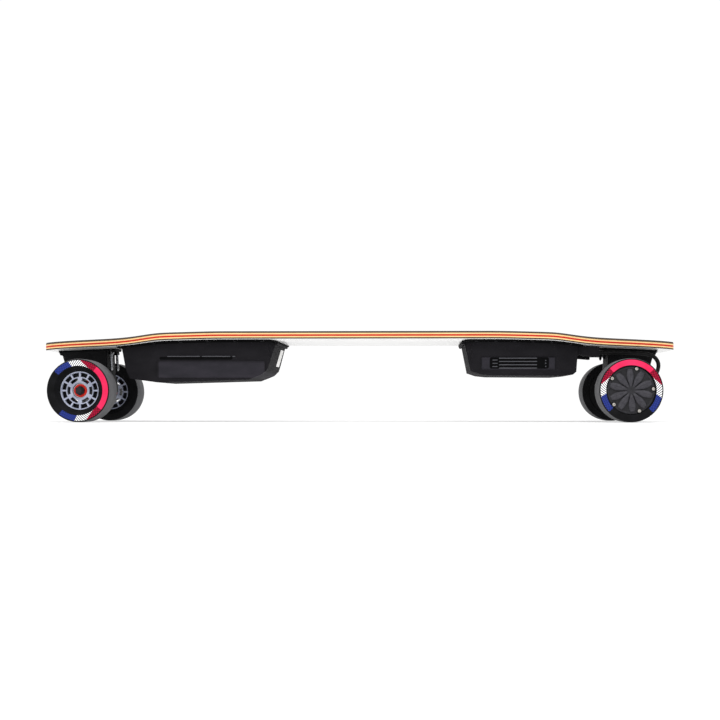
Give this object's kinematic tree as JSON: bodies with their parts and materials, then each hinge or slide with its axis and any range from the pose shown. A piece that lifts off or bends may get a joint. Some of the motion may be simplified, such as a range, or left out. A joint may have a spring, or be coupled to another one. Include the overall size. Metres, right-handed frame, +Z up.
{
  "type": "electric skateboard",
  "caption": "Electric longboard: laminated wooden deck with grip tape, steered trucks, spoked front wheels, hub motor rear wheels and battery and controller cases underneath.",
  "frame": {"origin": "on the ground under the middle of the deck", "axes": "+X to the rear (motor) end, -Y to the board's left side, +Z up"},
  "size_m": [0.978, 0.256, 0.1378],
  "materials": {
    "deck_wood": "lacquered laminate with red, cream and dark brown layers in its edge",
    "grip": "coarse abrasive grit",
    "truck_metal": "satin black powder coat",
    "fastener_steel": "zinc plated",
    "bearing_steel": "ground, with red seals",
    "black_steel": "black oxide",
    "bushing_urethane": "cast urethane",
    "tyre_urethane": "matte cast urethane, printed side band",
    "wheel_core": "satin silver grey",
    "motor_cover": "satin dark grey",
    "stator_copper": "enamelled copper winding",
    "case_plastic": "fine moulded texture",
    "cell_wrap": "heat-shrink wrap",
    "circuit_board": "solder mask",
    "cable_rubber": "matte black",
    "button_plastic": "satin"
  },
  "bodies": {
    "board": {"deck": "deck_wood", "grip_tape": "grip", "power_cable": "cable_rubber", "battery_case": "case_plastic", "battery_pack": "cell_wrap", "charge_port": "case_plastic", "controller_case": "case_plastic", "controller_board": "circuit_board", "left_motor_cable": "cable_rubber", "right_motor_cable": "cable_rubber", "front_riser_pad": "cable_rubber", "front_baseplate": "truck_metal", "front_pivot_cup": "cable_rubber", "front_kingpin": "fastener_steel", "front_upper_bushing": "bushing_urethane", "front_lower_bushing": "bushing_urethane", "front_cup_washer": "fastener_steel", "front_kingpin_nut": "fastener_steel", "front_right_inner_bolt": "fastener_steel", "front_left_inner_bolt": "fastener_steel", "front_right_outer_bolt": "fastener_steel", "front_left_outer_bolt": "fastener_steel", "rear_riser_pad": "cable_rubber", "rear_baseplate": "truck_metal", "rear_pivot_cup": "cable_rubber", "rear_kingpin": "fastener_steel", "rear_upper_bushing": "bushing_urethane", "rear_lower_bushing": "bushing_urethane", "rear_cup_washer": "fastener_steel", "rear_kingpin_nut": "fastener_steel", "rear_right_inner_bolt": "fastener_steel", "rear_left_inner_bolt": "fastener_steel", "rear_right_outer_bolt": "fastener_steel", "rear_left_outer_bolt": "fastener_steel"},
    "front_hanger": {"front_hanger": "truck_metal", "front_axle": "fastener_steel", "front_left_axle_nut": "black_steel", "front_right_axle_nut": "black_steel"},
    "rear_hanger": {"rear_hanger": "truck_metal", "rear_axle": "fastener_steel", "rear_left_stator": "stator_copper", "rear_right_stator": "stator_copper"},
    "front_left_wheel": {"front_left_tyre": "tyre_urethane", "front_left_core": "wheel_core", "front_left_outer_bearing": "bearing_steel", "front_left_inner_bearing": "bearing_steel"},
    "front_right_wheel": {"front_right_tyre": "tyre_urethane", "front_right_core": "wheel_core", "front_right_outer_bearing": "bearing_steel", "front_right_inner_bearing": "bearing_steel"},
    "rear_left_wheel": {"rear_left_tyre": "tyre_urethane", "rear_left_motor_can": "truck_metal", "rear_left_motor_cover": "motor_cover", "rear_left_motor_bearing": "bearing_steel"},
    "rear_right_wheel": {"rear_right_tyre": "tyre_urethane", "rear_right_motor_can": "truck_metal", "rear_right_motor_cover": "motor_cover", "rear_right_motor_bearing": "bearing_steel"},
    "power_button": {"power_button": "button_plastic"},
    "charge_port_cap": {"charge_port_cap": "cable_rubber"}
  },
  "joints": [
    {"name": "front_steer", "type": "hinge", "parent": "board", "child": "front_hanger", "pos_m": [-0.41864, 0, 0.06198], "axis": [-0.7388, 0, 0.6739], "range_deg": [-10, 10], "stiffness_Nm_per_rad": 50, "deforming": ["front_upper_bushing", "front_lower_bushing"]},
    {"name": "rear_steer", "type": "hinge", "parent": "board", "child": "rear_hanger", "pos_m": [0.41164, 0, 0.06198], "axis": [0.7388, 0, 0.6739], "range_deg": [-10, 10], "stiffness_Nm_per_rad": 50, "deforming": ["rear_upper_bushing", "rear_lower_bushing", "left_motor_cable", "right_motor_cable"]},
    {"name": "front_left_spin", "type": "hinge", "parent": "front_hanger", "child": "front_left_wheel", "pos_m": [-0.418, -0.101, 0.048], "axis": [0, 1, 0], "continuous": true},
    {"name": "front_right_spin", "type": "hinge", "parent": "front_hanger", "child": "front_right_wheel", "pos_m": [-0.418, 0.101, 0.048], "axis": [0, 1, 0], "continuous": true},
    {"name": "rear_left_spin", "type": "hinge", "parent": "rear_hanger", "child": "rear_left_wheel", "pos_m": [0.411, -0.101, 0.048], "axis": [0, 1, 0], "continuous": true},
    {"name": "rear_right_spin", "type": "hinge", "parent": "rear_hanger", "child": "rear_right_wheel", "pos_m": [0.411, 0.101, 0.048], "axis": [0, 1, 0], "continuous": true},
    {"name": "power_press", "type": "slide", "parent": "board", "child": "power_button", "axis": [0, -1, 0], "range_m": [0, 0.0015], "stiffness_N_per_m": 500},
    {"name": "charge_cap_hinge", "type": "hinge", "parent": "board", "child": "charge_port_cap", "pos_m": [-0.2, 0.0902, 0.0935], "axis": [-1, 0, 0], "range_deg": [0, 110]}
  ]
}
